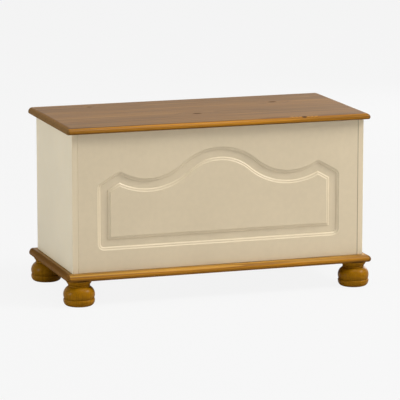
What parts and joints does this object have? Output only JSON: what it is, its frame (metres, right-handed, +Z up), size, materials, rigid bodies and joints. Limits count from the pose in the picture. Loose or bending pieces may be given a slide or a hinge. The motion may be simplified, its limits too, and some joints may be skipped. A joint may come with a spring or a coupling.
{
  "type": "storage ottoman",
  "caption": "Wooden storage ottoman or blanket box: painted body with a routed arched front, hinged pine lid, pine base and turned bun feet.",
  "frame": {"origin": "on the floor under the middle of the box", "axes": "+X to the right along the long side, +Y towards the hinged back, +Z up; the routed front faces -Y"},
  "size_m": [0.8322, 0.3942, 0.4593],
  "materials": {
    "stained_pine": "stained pine under satin lacquer",
    "turned_pine": "turned stained pine under satin lacquer",
    "cream_paint": "smooth cream paint on fibreboard, low sheen",
    "beech": "plain beech",
    "zinc_steel": "zinc plated",
    "brassed_steel": "satin brassed"
  },
  "bodies": {
    "carcass": {"base_board_1": "stained_pine", "base_board_2": "stained_pine", "base_board_3": "stained_pine", "base_board_4": "stained_pine", "base_board_5": "stained_pine", "front_left_foot": "turned_pine", "front_right_foot": "turned_pine", "back_left_foot": "turned_pine", "back_right_foot": "turned_pine", "left_side_panel": "cream_paint", "right_side_panel": "cream_paint", "front_panel": "cream_paint", "back_panel": "cream_paint", "dowels": "beech", "foot_studs": "zinc_steel", "foot_inserts": "zinc_steel", "base_screws": "zinc_steel", "cam_bolts": "zinc_steel", "cam_discs": "zinc_steel", "left_hinge_body_leaf": "brassed_steel", "right_hinge_body_leaf": "brassed_steel", "left_hinge_pin": "brassed_steel", "right_hinge_pin": "brassed_steel", "hinge_body_screws": "zinc_steel", "left_stay_pin": "brassed_steel", "right_stay_pin": "brassed_steel"},
    "lid": {"lid_board_1": "stained_pine", "lid_board_2": "stained_pine", "lid_board_3": "stained_pine", "lid_board_4": "stained_pine", "lid_board_5": "stained_pine", "left_hinge_lid_leaf": "brassed_steel", "right_hinge_lid_leaf": "brassed_steel", "hinge_lid_screws": "zinc_steel", "left_stay_bracket": "brassed_steel", "right_stay_bracket": "brassed_steel", "left_stay_rivet": "brassed_steel", "right_stay_rivet": "brassed_steel", "stay_screws": "zinc_steel"},
    "left_stay": {"left_stay_arm": "brassed_steel"},
    "right_stay": {"right_stay_arm": "brassed_steel"}
  },
  "joints": [
    {"name": "lid_hinge", "type": "hinge", "parent": "carcass", "child": "lid", "pos_m": [0, 0.1729, 0.4394], "axis": [-1, 0, 0], "range_deg": [0, 95]},
    {"name": "left_stay_swing", "type": "hinge", "parent": "lid", "child": "left_stay", "pos_m": [-0.3762, 0.02324, 0.4293], "axis": [-1, 0, 0], "range_deg": [-47.5, 0]},
    {"name": "right_stay_swing", "type": "hinge", "parent": "lid", "child": "right_stay", "pos_m": [0.3762, 0.02324, 0.4293], "axis": [-1, 0, 0], "range_deg": [-47.5, 0]}
  ],
  "couplings": [
    {"joint": "left_stay_swing", "follows": "lid_hinge", "ratio": -0.5},
    {"joint": "right_stay_swing", "follows": "lid_hinge", "ratio": -0.5}
  ]
}
